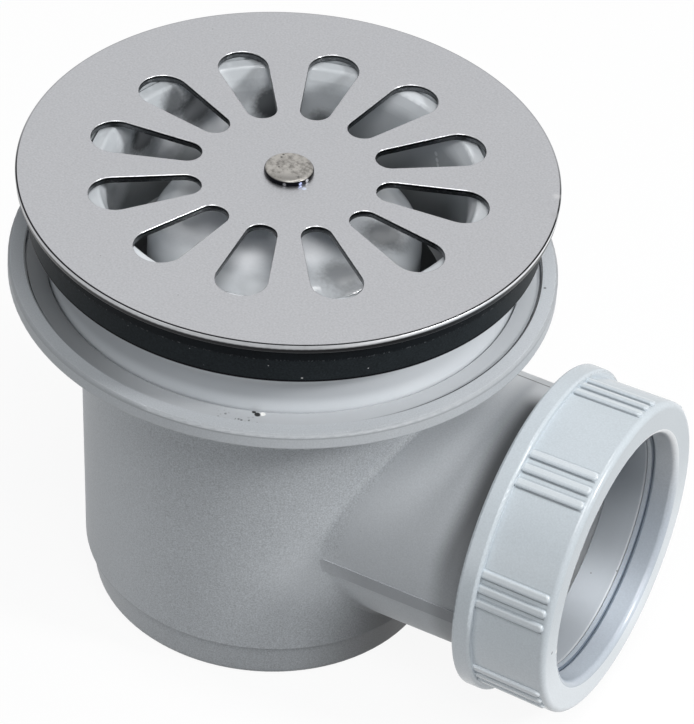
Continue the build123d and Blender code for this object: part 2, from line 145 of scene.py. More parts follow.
SPIN_STEPS = 240
PIN_HOLE_STEPS = 48
RIM_ARC_STEPS = 5
SEAL_FOOT_STEPS = 6
SLOT_FAR_STEPS = 22
SLOT_NEAR_STEPS = 16
LEVEL_FACE = 0.9999


def arc(centre, radius, start, end, steps):
    """Points on an arc about a centre, angles in degrees."""
    points = []
    for step in range(steps + 1):
        angle = math.radians(start + (end - start) * step / steps)
        points.append((centre[0] + radius * math.cos(angle), centre[1] + radius * math.sin(angle)))
    return points


def lathe(outline):
    """Spins a closed outline of (radius, height) about Z."""
    mesh = bmesh.new()
    points = [mesh.verts.new((r, 0, z)) for r, z in outline]
    edges = [mesh.edges.new((a, b)) for a, b in zip(points, points[1:] + points[:1])]
    bmesh.ops.spin(
        mesh,
        geom=points + edges,
        cent=(0, 0, 0),
        axis=(0, 0, 1),
        angle=2 * math.pi,
        steps=SPIN_STEPS,
        use_merge=True,
    )
    bmesh.ops.remove_doubles(mesh, verts=mesh.verts, dist=1e-4)
    bmesh.ops.recalc_face_normals(mesh, faces=mesh.faces)
    return mesh


def loop_edges(mesh, points):
    """Closed loop of vertices and edges through a list of points."""
    verts = [mesh.verts.new(point) for point in points]
    return [mesh.edges.new((a, b)) for a, b in zip(verts, verts[1:] + verts[:1])]


def skin(mesh, loops):
    """Bands of faces between loops that follow one another."""
    made = []
    for first, second in zip(loops, loops[1:]):
        made += bmesh.ops.bridge_loops(mesh, edges=first + second)["faces"]
    return made


def circle(radius, height, steps=SPIN_STEPS):
    """Points of a level circle about Z."""
    turns = [2 * math.pi * step / steps for step in range(steps)]
    return [(radius * math.cos(t), radius * math.sin(t), height) for t in turns]


def slot(turn, wider, height):
    """Points of one tapered slot, made wider on every side by an amount."""
    lean = math.acos((SLOT_OUTER_R - SLOT_INNER_R) / (SLOT_OUTER_AT_R - SLOT_INNER_AT_R))
    bend = math.degrees(math.pi - lean)
    ends = arc((SLOT_OUTER_AT_R, 0), SLOT_OUTER_R + wider, -bend, bend, SLOT_FAR_STEPS)
    ends += arc((SLOT_INNER_AT_R, 0), SLOT_INNER_R + wider, bend, 360 - bend, SLOT_NEAR_STEPS)
    return [
        (x * math.cos(turn) - y * math.sin(turn), x * math.sin(turn) + y * math.cos(turn), height)
        for x, y in ends
    ]


def pressed_grate():
    """Slotted steel sheet with softly sheared slot edges and a rolled rim."""
    mesh = bmesh.new()
    side_top = PLATE_TOP - RIM_EDGE_R
    rim = [(GRATE_R - RIM_EDGE_R, PLATE_TOP)]
    rim += arc((GRATE_R - RIM_EDGE_R, side_top), RIM_EDGE_R, 75, 0, RIM_ARC_STEPS)
    rim.append((GRATE_R - RIM_TAPER * 0.6, RIM_LOW + RIM_SHOULDER))
    rim.append((GRATE_R - RIM_TAPER, RIM_LOW + RIM_CHAMFER))
    rim.append((GRATE_R - RIM_TAPER - RIM_FOOT, RIM_LOW))
    rim.append((GRATE_R - SHEET, RIM_LOW))
    rim.append((GRATE_R - SHEET, PLATE_UNDER))
    rim_loops = [loop_edges(mesh, circle(r, z)) for r, z in rim]
    skin(mesh, rim_loops)
    hole_loops = []
    for z in (PLATE_TOP, PLATE_UNDER):
        hole_loops.append(loop_edges(mesh, circle(PIN_HOLE_R, z, PIN_HOLE_STEPS)))
    skin(mesh, hole_loops)
    top = rim_loops[0] + hole_loops[0]
    under = rim_loops[-1] + hole_loops[1]
    walls = []
    for index in range(SLOTS):
        turn = SLOT_FIRST_ANGLE + index * 2 * math.pi / SLOTS
        steps = [
            (SLOT_EDGE, PLATE_TOP),
            (SLOT_EDGE * 0.3, PLATE_TOP - SLOT_EDGE * 0.4),
            (0, PLATE_TOP - SLOT_EDGE * 1.2),
            (0, PLATE_UNDER + SLOT_EDGE),
            (SLOT_EDGE, PLATE_UNDER),
        ]
        loops = [loop_edges(mesh, slot(turn, wider, z)) for wider, z in steps]
        walls += skin(mesh, loops)
        top += loops[0]
        under += loops[-1]
    bmesh.ops.triangle_fill(mesh, edges=top, use_beauty=True, use_dissolve=False)
    bmesh.ops.triangle_fill(mesh, edges=under, use_beauty=True, use_dissolve=False)
    bmesh.ops.recalc_face_normals(mesh, faces=mesh.faces)
    for face in walls:
        if face.is_valid:
            face.material_index = 1
    return mesh


def seal_ring():
    """Black L-section ring under the grate, with softened edges."""
    outline = [(SEAL_INNER_LOW_R, SEAL_LOW)]
    foot = (SEAL_LOW_R - SEAL_EDGE_R, SEAL_LOW + SEAL_EDGE_R)
    crest = (SEAL_TOP_R - SEAL_CREST_R, SEAL_TOP - SEAL_CREST_R)
    outline += arc(foot, SEAL_EDGE_R, -90, -5, SEAL_FOOT_STEPS)
    outline += arc(crest, SEAL_CREST_R, -5, 90, RIM_ARC_STEPS)
    outline.append((SEAL_INNER_TOP_R, SEAL_TOP))
    outline.append((SEAL_INNER_TOP_R, SEAL_LEDGE_Z))
    outline.append((SEAL_INNER_LOW_R, SEAL_LEDGE_Z))
    return lathe(outline)


def piece(name, mesh, body, node, materials):
    """Turns a bmesh in millimetres into a smooth object that stands for a CAD node."""
    bmesh.ops.scale(mesh, vec=(MM, MM, MM), verts=mesh.verts)
    data = bpy.data.meshes.new(name)
    mesh.to_mesh(data)
    mesh.free()
    for polygon in data.polygons:
        polygon.use_smooth = abs(polygon.normal.z) < LEVEL_FACE
    made = bpy.data.objects.new(name, data)
    bpy.context.scene.collection.objects.link(made)
    weigh = made.modifiers.new("even_normals", "WEIGHTED_NORMAL")
    weigh.keep_sharp = True
    for material in materials:
        data.materials.append(material)
    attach(made, body)
    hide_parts(node)


class Net:
    """Adds and links the nodes of one material or node group."""

    def __init__(self, tree):
        self.tree = tree

    def put(self, kind, **settings):
        """New node of a kind, with its settings."""
        made = self.tree.nodes.new(kind)
        for name, value in settings.items():
            setattr(made, name, value)
        return made

    def feed(self, socket, value):
        """Links another socket into a socket, or sets its value."""
        if isinstance(value, bpy.types.NodeSocket):
            self.tree.links.new(value, socket)
        elif isinstance(value, tuple) and len(value) == 3 and len(socket.default_value) == 4:
            socket.default_value = (*value, 1)
        else:
            socket.default_value = value

    def math(self, operation, first, second=0.0):
        """One step of arithmetic."""
        made = self.put("ShaderNodeMath", operation=operation)
        self.feed(made.inputs[0], first)
        self.feed(made.inputs[1], second)
        return made.outputs[0]

    def product(self, first, *others):
        """All the values multiplied together."""
        for other in others:
            first = self.math("MULTIPLY", first, other)
        return first

    def vector(self, operation, first, second):
        """One step of vector arithmetic, with a single value for a distance."""
        made = self.put("ShaderNodeVectorMath", operation=operation)
        self.feed(made.inputs[0], first)
        self.feed(made.inputs[1], second)
        return made.outputs["Value"] if operation == "DISTANCE" else made.outputs[0]

    def spread(self, value, low_end, high_end, low_value=0.0, high_value=1.0):
        """Smooth passage from one value to another between two ends."""
        made = self.put("ShaderNodeMapRange", interpolation_type="SMOOTHSTEP")
        self.feed(made.inputs["Value"], value)
        self.feed(made.inputs["From Min"], low_end)
        self.feed(made.inputs["From Max"], high_end)
        self.feed(made.inputs["To Min"], low_value)
        self.feed(made.inputs["To Max"], high_value)
        return made.outputs["Result"]

    def blend(self, share, first, second):
        """Mix of two colours, all of the second at a share of one."""
        made = self.put("ShaderNodeMix", data_type="RGBA")
        self.feed(made.inputs[0], share)
        self.feed(made.inputs[6], first)
        self.feed(made.inputs[7], second)
        return made.outputs[2]

    def scale(self, position, factor):
        """Vector or colour times a number."""
        made = self.put("ShaderNodeVectorMath", operation="SCALE")
        self.feed(made.inputs[0], position)
        self.feed(made.inputs["Scale"], factor)
        return made.outputs[0]

    def noise(self, position, scale, detail=2.0, roughness=0.5):
        """Cloudy noise about a half."""
        made = self.put("ShaderNodeTexNoise")
        self.feed(made.inputs["Vector"], position)
        self.feed(made.inputs["Scale"], scale)
        self.feed(made.inputs["Detail"], detail)
        self.feed(made.inputs["Roughness"], roughness)
        return made.outputs[0]

    def use(self, group, outcome, **values):
        """Places a node group with its inputs and gives one of its outputs."""
        made = self.put("ShaderNodeGroup", node_tree=group)
        for name, value in values.items():
            self.feed(made.inputs[name.replace("_", " ").capitalize()], value)
        return made.outputs[outcome]


def new_group(name, inputs, outputs):
    """Empty node group with named float and vector sockets."""
    tree = bpy.data.node_groups.new(name, "ShaderNodeTree")
    for label, kind, value in inputs:
        socket = tree.interface.new_socket(label, in_out="INPUT", socket_type=kind)
        socket.default_value = value
    for label, kind in outputs:
        tree.interface.new_socket(label, in_out="OUTPUT", socket_type=kind)
    net = Net(tree)
    return tree, net, net.put("NodeGroupInput").outputs, net.put("NodeGroupOutput").inputs


FLOAT = "NodeSocketFloat"
VECTOR = "NodeSocketVector"


def build_specks():
    """Scattered small round specks: a few cells of a Voronoi pattern."""
    tree, net, given, result = new_group(
        "scattered_specks",
        [
            ("Position", VECTOR, (0, 0, 0)),
            ("Spacing", FLOAT, 2.0),
            ("Share", FLOAT, 0.1),
            ("Size", FLOAT, 0.1),
        ],
        [("Mask", FLOAT)],
    )
    cells = net.put("ShaderNodeTexVoronoi", feature="F1")
    density = net.math("DIVIDE", 1.0, given["Spacing"])
    net.feed(cells.inputs["Vector"], given["Position"])
    net.feed(cells.inputs["Scale"], density)
    away = net.product(cells.outputs["Distance"], given["Spacing"])
    tones = net.put("ShaderNodeSeparateColor")
    net.feed(tones.inputs[0], cells.outputs["Color"])
    chosen = net.math("LESS_THAN", tones.outputs[0], given["Share"])
    size = net.product(given["Size"], net.math("ADD", tones.outputs[1], 0.35))
    inside = net.math("SUBTRACT", 1.0, net.spread(away, net.product(size, 0.5), size))
    net.feed(result["Mask"], net.product(inside, chosen))
    return tree


def build_spot():
    """Soft round mark at one place, with an uneven edge."""
    tree, net, given, result = new_group(
        "single_spot",
        [
            ("Position", VECTOR, (0, 0, 0)),
            ("Place", VECTOR, (0, 0, 0)),
            ("Size", FLOAT, 1.0),
            ("Softness", FLOAT, 0.3),
            ("Unevenness", FLOAT, 0.3),
        ],
        [("Mask", FLOAT)],
    )
    away = net.vector("DISTANCE", given["Position"], given["Place"])
    wander = net.math("SUBTRACT", net.noise(given["Position"], 1.7, 3.0), 0.5)
    uneven = net.math("ADD", away, net.product(wander, given["Unevenness"], given["Size"]))
    start = net.product(given["Size"], net.math("SUBTRACT", 1.0, given["Softness"]))
    net.feed(result["Mask"], net.math("SUBTRACT", 1.0, net.spread(uneven, start, given["Size"])))
    return tree


def build_mottle():
    """Cloudy change of tone about one with a fine grain over it, and the grain's height."""
    tree, net, given, result = new_group(
        "moulded_mottle",
        [
            ("Position", VECTOR, (0, 0, 0)),
            ("Cloud size", FLOAT, 12.0),
            ("Grain size", FLOAT, 0.3),
            ("Cloud", FLOAT, 0.03),
            ("Grain", FLOAT, 0.02),
        ],
        [("Tone", FLOAT), ("Height", FLOAT)],
    )
    clouds_per_mm = net.math("DIVIDE", 1.0, given["Cloud size"])
    grains_per_mm = net.math("DIVIDE", 1.0, given["Grain size"])
    cloud = net.math("SUBTRACT", net.noise(given["Position"], clouds_per_mm), 0.5)
    grain = net.math("SUBTRACT", net.noise(given["Position"], grains_per_mm, 1.0), 0.5)
    both = net.math("ADD", net.product(cloud, given["Cloud"]), net.product(grain, given["Grain"]))
    net.feed(result["Tone"], net.math("ADD", 1.0, both))
    net.feed(result["Height"], grain)
    return tree


def build_streaks():
    """Noise drawn out along the axes with the smaller stretch."""
    tree, net, given, result = new_group(
        "drawn_out_streaks",
        [
            ("Position", VECTOR, (0, 0, 0)),
            ("Stretch", VECTOR, (1, 1, 1)),
            ("Scale", FLOAT, 1.0),
            ("Detail", FLOAT, 2.0),
            ("Roughness", FLOAT, 0.5),
        ],
        [("Mask", FLOAT)],
    )
    drawn = net.vector("MULTIPLY", given["Position"], given["Stretch"])
    net.feed(result["Mask"], net.noise(drawn, given["Scale"], given["Detail"], given["Roughness"]))
    return tree


SPECKS = build_specks()
SPOT = build_spot()
MOTTLE = build_mottle()
STREAKS = build_streaks()

# Turn of the usual view about Z, by its rounded cosine and sine
SEEN_COS = 0.9
SEEN_SIN = 0.43

# Tones that marks on more than one part share; SHADE and LEDGE_SHADE are painted shade and GLEAM is painted
# light
SHADE = (0.035, 0.038, 0.042)
GLEAM = (0.95, 0.97, 1.0)
LEDGE_SHADE = (0.40, 0.425, 0.445)
SOOT = (0.005, 0.005, 0.005)
FLECK = (0.6, 0.6, 0.62)
PIT = (0.1, 0.1, 0.1)


class Material(Net):
    """Procedural material on Object coordinates, in millimetres."""

    def __init__(self, name, roughness, metallic=0.0, coat=0.0, specular=0.5):
        self.made = bpy.data.materials.new(name)
        self.made.use_nodes = True
        super().__init__(self.made.node_tree)
        self.shader = self.tree.nodes["Principled BSDF"]
        self.shader.inputs["Roughness"].default_value = roughness
        self.shader.inputs["Metallic"].default_value = metallic
        self.shader.inputs["Coat Weight"].default_value = coat
        self.shader.inputs["Specular IOR Level"].default_value = specular
        self.position = self.scale(self.put("ShaderNodeTexCoord").outputs["Object"], 1 / MM)
        parts = self.put("ShaderNodeSeparateXYZ")
        self.feed(parts.inputs[0], self.position)
        self.x, self.y, self.z = parts.outputs
        self.radius = self.distance(self.x, self.y)

    def distance(self, first, second):
        """Length of the diagonal over two legs."""
        squares = self.math("ADD", self.math("POWER", first, 2.0), self.math("POWER", second, 2.0))
        return self.math("POWER", squares, 0.5)

    def above(self, value, limit):
        """One where a value is over a limit, and nought elsewhere."""
        return self.math("GREATER_THAN", value, limit)

    def below(self, value, limit):
        """One where a value is under a limit, and nought elsewhere."""
        return self.math("LESS_THAN", value, limit)

    def outlet_radius(self):
        """Distance from the outlet's axis."""
        return self.distance(self.math("SUBTRACT", self.z, OUTLET_Z), self.y)

    def strip_height(self):
        """Height across the parting strip on the near side of the outlet."""
        rise = self.math("SUBTRACT", self.z, OUTLET_Z)
        along = self.product(rise, math.cos(STRIP_ANGLE))
        return self.math("SUBTRACT", along, self.product(self.y, math.sin(STRIP_ANGLE)))

    def across(self):
        """Distance to the right of the middle as the drain is usually seen."""
        return self.math("ADD", self.product(self.x, SEEN_COS), self.product(self.y, SEEN_SIN))

    def toward_front(self):
        """Distance in front of the middle as the drain is usually seen."""
        return self.math("SUBTRACT", self.product(self.x, SEEN_SIN), self.product(self.y, SEEN_COS))

    def wrapped(self, value, centre, pitch):
        """Offset from the nearest of a row of evenly pitched centres."""
        shifted = self.math("SUBTRACT", value, centre - pitch / 2)
        return self.math("SUBTRACT", self.math("FLOORED_MODULO", shifted, pitch), pitch / 2)

    def band(self, value, start, end, soft):
        """One between two values, falling to nought over a soft edge."""
        rising = self.spread(value, start - soft, start)
        falling = self.spread(value, end, end + soft)
        return self.product(rising, self.math("SUBTRACT", 1.0, falling))

    def streaks(self, **values):
        """Noise drawn out along the axes with the smaller stretch."""
        return self.use(STREAKS, "Mask", position=self.position, **values)

    def specks(self, spacing, share, size):
        """Scattered small round specks."""
        return self.use(SPECKS, "Mask", position=self.position, spacing=spacing, share=share, size=size)

    def spot(self, place, size, softness):
        """Soft round spot at a place."""
        return self.use(SPOT, "Mask", position=self.position, place=place, size=size, softness=softness)

    def mottled(self, colour, cloud_size, grain_size, cloud, grain):
        """Colour with a cloudy tone and fine grain."""
        made = self.put("ShaderNodeGroup", node_tree=MOTTLE)
        self.feed(made.inputs["Position"], self.position)
        self.feed(made.inputs["Cloud size"], cloud_size)
        self.feed(made.inputs["Grain size"], grain_size)
        self.feed(made.inputs["Cloud"], cloud)
        self.feed(made.inputs["Grain"], grain)
        self.grain = made.outputs["Height"]
        return self.scale(colour, made.outputs["Tone"])

    def tinted(self, base, colour, *shares):
        """Lays a colour over the base where the shares' product says so."""
        return self.blend(self.product(*shares), base, colour)

    def spotted(self, base, marks):
        """Lays marks of (place, size, softness, colour, strength) over a colour."""
        for place, size, softness, colour, strength in marks:
            base = self.tinted(base, colour, self.spot(place, size, softness), strength)
        return base

    def finish(self, colour, bump, strength, distance):
        """Joins the colour and the bump to the shader."""
        self.feed(self.shader.inputs["Base Color"], colour)
        relief = self.put("ShaderNodeBump")
        relief.inputs["Strength"].default_value = strength
        relief.inputs["Distance"].default_value = distance * MM
        self.feed(relief.inputs["Height"], bump)
        self.feed(self.shader.inputs["Normal"], relief.outputs[0])
        return self.made


def rolled_side(made):
    """Painted light and shade on the grate's rolled rim: a painted highlight at its top edge that grows
    brighter to the right, painted shade below it, and faint upright streaks.
    """
    across = made.across()
    depth = made.math("SUBTRACT", PLATE_TOP, made.z)
    fall = made.spread(across, -4.0, 24.0, 1.7, 0.8)
    # Painted highlight at the rim's top edge, brighter to the right, with painted shade below it
    lit_edge = made.blend(made.spread(across, 4.0, 22.0), (0.46, 0.47, 0.485), (0.95, 0.96, 0.98))
    side = made.blend(made.spread(depth, made.product(fall, 0.3), fall), lit_edge, (0.012, 0.014, 0.016))
    streaks = made.streaks(stretch=(0.5, 0.5, 7.0), scale=1.3, detail=3.0)
    return made.tinted(side, (0.15, 0.155, 0.16), made.spread(streaks, 0.35, 0.75, 0.0, 0.3))


def steel_sheet():
    """Satin sheet with fine grain, sparse dark specks, a dark line before its rolled rim, painted light and
    shade on the rim, a painted glint beside the pin and two scuffs.
    """
    made = Material("satin_steel_sheet", 0.34, metallic=1.0)
    base = made.mottled((0.468, 0.474, 0.494), 9.0, 0.32, 0.03, 0.34)
    base = made.tinted(base, (0.16, 0.16, 0.17), made.specks(2.4, 0.22, 0.13), 0.5)
    base = made.tinted(base, (0.10, 0.10, 0.11), made.specks(5.5, 0.3, 0.17), 0.6)
    base = made.tinted(base, rolled_side(made), made.above(made.radius, RIM_LINE_R + 0.2))
    line = made.band(made.radius, RIM_LINE_R, RIM_LINE_R + RIM_LINE_WIDTH, 0.04)
    plainer_behind = made.spread(made.toward_front(), -12.0, 6.0, 0.25, 0.97)
    base = made.tinted(base, (0.008, 0.008, 0.009), line, plainer_behind)
    # A painted glint beside the pin, then two scuffs near the rim
    base = made.spotted(base, [
        ((4.06, -2.56, PLATE_TOP), 0.5, 0.6, (0.75, 0.82, 1.0), 0.8),
        ((40.1, 12.4, PLATE_TOP), 1.3, 0.9, (0.40, 0.40, 0.41), 0.5),
        ((38.2, 16.9, PLATE_TOP), 1.0, 0.9, (0.64, 0.64, 0.65), 0.6),
    ])
    return made.finish(base, made.grain, 0.12, 0.02)


def sheared_steel():
    """Slot walls with a dark base that stands in for their shade, darker bands near the top and bottom
    edges, and a painted highlight as a bright broken line along the top edge.
    """
    made = Material("sheared_slot_wall", 0.28, metallic=1.0)
    streaks = made.streaks(stretch=(1.0, 1.0, 6.0), scale=1.6, detail=4.0, roughness=0.7)
    bright = made.product(made.spread(streaks, 0.52, 0.72), 0.5)
    # Dark base standing in for the walls' shade, with streaky lighter patches
    base = made.blend(bright, (0.10, 0.105, 0.11), (0.6, 0.61, 0.63))
    dark_top = made.band(made.z, PLATE_TOP - 0.4, PLATE_TOP - 0.2, 0.08)
    base = made.tinted(base, (0.01, 0.011, 0.012), dark_top, 0.9)
    low_edge = made.spread(made.z, PLATE_UNDER + 0.2, PLATE_UNDER + 0.02)
    base = made.tinted(base, (0.01, 0.011, 0.012), low_edge, 0.8)
    # Painted highlight: a bright broken line along the top edge
    top_edge = made.spread(made.z, PLATE_TOP - 0.13, PLATE_TOP - 0.05)
    base = made.tinted(base, (0.62, 0.63, 0.65), top_edge, made.spread(streaks, 0.3, 0.6, 0.45, 1.0))
    return made.finish(base, streaks, 0.2, 0.05)


def pin_steel():
    """Mottled beige-grey head with dark pits, darker patches towards the front, its side and underside
    painted a shiny black as their shade, and painted glints on its side.
    """
    made = Material("mottled_pin_steel", 0.34, metallic=1.0)
    cloud = made.noise(made.position, 0.8, 6.0, 0.7)
    base = made.blend(made.spread(cloud, 0.34, 0.62), (0.19, 0.182, 0.17), (0.44, 0.423, 0.398))
    base = made.tinted(base, (0.04, 0.04, 0.04), made.specks(0.75, 0.3, 0.2), 0.75)
    at_front = made.spread(made.toward_front(), 1.2, 3.6)
    base = made.tinted(base, (0.08, 0.08, 0.08), at_front, made.spread(cloud, 0.4, 0.6), 0.6)
    # The head's side and underside are painted black as their shade
    base = made.tinted(base, (0.006, 0.006, 0.008), made.spread(made.z, PIN_TOP - 0.1, PIN_TOP - 0.3))
    # Painted glints on the side of the head
    base = made.spotted(base, [
        ((3.75, -1.0, PIN_SIDE_Z + 0.05), 0.4, 0.5, (0.75, 0.75, 0.78), 0.8),
        ((3.2, -2.2, PIN_SIDE_Z), 0.36, 0.5, (0.45, 0.50, 0.75), 0.8),
        ((1.2, -3.7, PIN_SIDE_Z), 0.34, 0.6, (0.4, 0.4, 0.42), 0.6),
    ])
    return made.finish(base, cloud, 0.25, 0.08)


def black_rubber():
    """Cool black rubber with white dust specks, painted shade making its upper band darker, a faint broken
    pale line, and a painted highlight along its low edge under a darker line.
    """
    made = Material("black_seal_rubber", 0.5, specular=0.04)
    # Painted shade: the band under the grate's rim is darker than the band below it
    lower = made.spread(made.z, SEAL_TOP - 1.95, SEAL_TOP - 2.5)
    tone = made.blend(lower, (0.006, 0.008, 0.010), (0.016, 0.020, 0.023))
    base = made.mottled(tone, 6.0, 0.3, 0.5, 1.2)
    base = made.tinted(base, (0.45, 0.47, 0.50), made.specks(1.8, 0.4, 0.17), 0.4)
    pale_line_band = made.band(made.z, SEAL_TOP - 2.2, SEAL_TOP - 2.05, 0.12)
    streaks = made.streaks(stretch=(1.0, 1.0, 0.6), scale=2.6, detail=4.0, roughness=0.7)
    broken = made.spread(streaks, 0.5, 0.66)
    base = made.tinted(base, (0.30, 0.31, 0.33), pale_line_band, broken, 0.26)
    # Painted highlight along the low edge, under a darker line
    base = made.tinted(base, (0.001, 0.001, 0.002), made.band(made.z, SEAL_LOW + 0.22, SEAL_LOW + 0.5, 0.1))
    edge = made.spread(made.z, SEAL_LOW + 0.2, SEAL_LOW + 0.12)
    base = made.tinted(base, (0.60, 0.62, 0.65), edge, 0.75)
    base = made.spotted(base, [
        ((21.72, -34.54, 73.18), 0.3, 0.5, (0.9, 0.9, 0.9), 1.0),
        ((17.2, -37.0, 75.6), 0.16, 0.5, FLECK, 0.9),
        ((29.5, -28.1, 74.2), 0.14, 0.5, FLECK, 0.9),
    ])
    return made.finish(base, made.grain, 0.15, 0.03)


def white_plastic(name, deep_from, marks):
    """Glossy bluish white polypropylene with painted shade that deepens inside the drain, a painted shadow
    of the seal on the skirt, a painted highlight along the mouth, and the given marks.
    """
    made = Material(name, 0.2, coat=0.15)
    base = made.mottled((0.74, 0.77, 0.80), 14.0, 0.4, 0.03, 0.02)
    # Painted shade: greyer with depth inside the drain
    depth = made.math("SUBTRACT", 1.0, made.spread(made.z, DEEP_Z, deep_from))
    inside = made.below(made.radius, DRAIN_INSIDE_R)
    base = made.tinted(base, (0.10, 0.11, 0.115), depth, inside, 0.85)
    # Painted shadow of the seal on the skirt, fading to the right
    under_seal = made.band(made.z, SEAL_LOW - 5.4, SEAL_LOW - 3.6, 2.0)
    fading_right = made.spread(made.across(), 36.0, 8.0)
    on_skirt = made.above(made.radius, SKIRT_FROM_R)
    base = made.tinted(base, (0.24, 0.25, 0.27), under_seal, 0.32, fading_right, on_skirt)
    base = made.tinted(base, (0.2, 0.2, 0.21), made.specks(4.0, 0.12, 0.12), 0.45)
    # Painted highlight along the near half of the mouth's edge
    mouth = made.band(made.radius, MOUTH_R, MOUTH_R + 0.35, 0.1)
    near_half = made.below(made.y, 0.0)
    base = made.tinted(base, (0.98, 0.98, 0.98), mouth, made.above(made.z, MOUTH_Z), near_half)
    base = made.spotted(base, marks)
    return made.finish(base, made.grain, 0.05, 0.02)


def shaded_cup(made, base, on_cup):
    """Painted light and shade on the cup: a painted paler left side, painted shadow under the flange,
    painted shade along the foot's bottom edge and painted shade at the foot's right.
    """
    across = made.across()
    # Painted light on the cup's left side
    base = made.tinted(base, (0.85, 0.88, 0.91), on_cup, made.spread(across, -12.0, -27.0, 0.0, 0.4))
    # Painted shadow under the flange
    under_flange = made.spread(made.z, 42.0, 60.0, 0.0, 0.3)
    right_half = made.spread(across, -14.0, 14.0)
    base = made.tinted(base, (0.25, 0.26, 0.28), under_flange, on_cup, right_half)
    # Painted shade along the foot's bottom edge and at the foot's right
    foot_edge = made.spread(made.z, 1.6, 0.2, 0.0, 0.5)
    base = made.tinted(base, (0.12, 0.125, 0.135), foot_edge, made.below(made.radius, CUP_SHELL_R))
    foot_shade = made.product(made.spread(across, 5.0, 21.0), made.spread(made.z, 25.0, 8.0))
    near_side = made.below(made.y, 4.0)
    return made.tinted(base, (0.045, 0.048, 0.052), foot_shade, on_cup, near_side, 0.9)


def marked_outlet(made, base):
    """Outlet with a parting strip painted darker as its shade, painted light on its crown with a fine line,
    painted shade beside the nut, and a socket painted dark as shade with painted light next to the seal.
    """
    radius = made.outlet_radius()
    # Parting strip, painted darker as its shade
    strip = made.product(made.band(made.strip_height(), -1.4, 1.4, 0.12), made.above(made.x, STRIP_FROM_X))
    on_strip = made.product(made.below(made.y, -10.0), made.band(radius, 21.9, 22.6, 0.1))
    base = made.tinted(base, (0.22, 0.23, 0.25), strip, on_strip, 0.6)
    # Painted shade: the socket inside the outlet is painted near black, with painted light on its part next
    # to the seal
    inside = made.product(made.below(radius, SOCKET_WALL_R), made.above(made.x, SOCKET_FROM_X))
    base = made.tinted(base, (0.02, 0.021, 0.023), inside)
    base = made.tinted(base, (0.92, 0.94, 0.96), inside, made.above(made.x, SOCKET_GAP_X))
    pipe_wall = made.product(
        made.above(radius, PIPE_INNER_R), made.below(radius, PIPE_OUTER_R), made.above(made.x, PIPE_FROM_X)
    )
    # Painted light on the pipe's crown, crossed by a fine dark parting line
    crown = made.product(
        pipe_wall,
        made.spread(made.x, PIPE_FROM_X, PIPE_FROM_X + 7.0),
        made.spread(made.y, -7.0, 8.0),
        made.spread(made.z, OUTLET_Z + 4.0, OUTLET_Z + 17.0),
    )
    base = made.tinted(base, (0.86, 0.88, 0.90), crown, 0.75)
    line = made.band(made.y, CROWN_LINE_Y - 0.3, CROWN_LINE_Y, 0.12)
    base = made.tinted(base, (0.10, 0.105, 0.11), crown, line, 0.8)
    # Painted shadow of the nut on the pipe beside it
    aside = made.spread(made.y, 7.0, 1.0)
    lower_start = made.product(made.spread(made.z, 47.0, 34.0), 1.6)
    toward_nut = made.math("ADD", made.x, lower_start)
    near_nut = made.spread(toward_nut, NUT_BACK - 6.0, NUT_BACK - 2.0)
    low_down = made.spread(made.z, 26.0, 48.0, 0.45, 0.95)
    return made.tinted(base, (0.035, 0.038, 0.042), near_nut, pipe_wall, aside, low_down)


def marked_flange(made, base):
    """Flange with a dark seam round its recess, shown only at the sides as painted shade, and a duller
    bevelled edge.
    """
    across = made.across()
    # The seam is real; its darkness only at the sides is painted shade
    seam = made.band(made.radius, SEAM_R, SEAM_R + 0.16, 0.06)
    at_right = made.spread(across, 10.0, 30.0)
    sides = made.math("MAXIMUM", at_right, made.spread(across, -14.0, -34.0, 0.0, 0.6))
    on_top = made.above(made.z, FLANGE_TOP - 0.1)
    base = made.tinted(base, (0.02, 0.021, 0.023), seam, on_top, sides, 0.95)
    bevel = made.band(made.z, FLANGE_TOP - 0.8, FLANGE_TOP - 0.06, 0.05)
    return made.tinted(base, (0.30, 0.315, 0.33), bevel, made.above(made.radius, BEVEL_FROM_R), 0.55)


def grey_plastic():
    """Fine-grained grey moulding with a line at its stepped foot, the marks of its other forms with their
    painted light and shade, a painted pale patch of light on the cup and a speck on the flange.
    """
    made = Material("grey_polypropylene", 0.48)
    on_cup = made.product(made.spread(made.radius, CUP_BLEND_R, CUP_WALL_R), made.below(made.z, CUP_TOP_Z))
    base = made.mottled((0.505, 0.528, 0.552), 16.0, 0.24, 0.08, made.spread(on_cup, 0.0, 1.0, 0.3, 0.95))
    base = shaded_cup(made, base, on_cup)
    base = made.tinted(base, (0.14, 0.145, 0.155), made.specks(3.0, 0.12, 0.14), 0.4)
    step = made.band(made.z, FOOT_STEP_Z - 0.12, FOOT_STEP_Z + 0.05, 0.1)
    base = made.tinted(base, (0.2, 0.21, 0.22), step, made.below(made.radius, FOOT_WALL_R), 0.5)
    base = marked_flange(made, base)
    base = marked_outlet(made, base)
    # A painted pale patch of light on the cup by the outlet, and a dark speck on the flange
    base = made.spotted(base, [
        ((19.9, -23.5, 23.0), 10.0, 1.0, (0.82, 0.85, 0.88), 0.4),
        ((38.6, 15.09, FLANGE_TOP), 0.3, 0.5, (0.08, 0.08, 0.08), 0.8),
    ])
    return made.finish(base, made.grain, 0.16, 0.04)


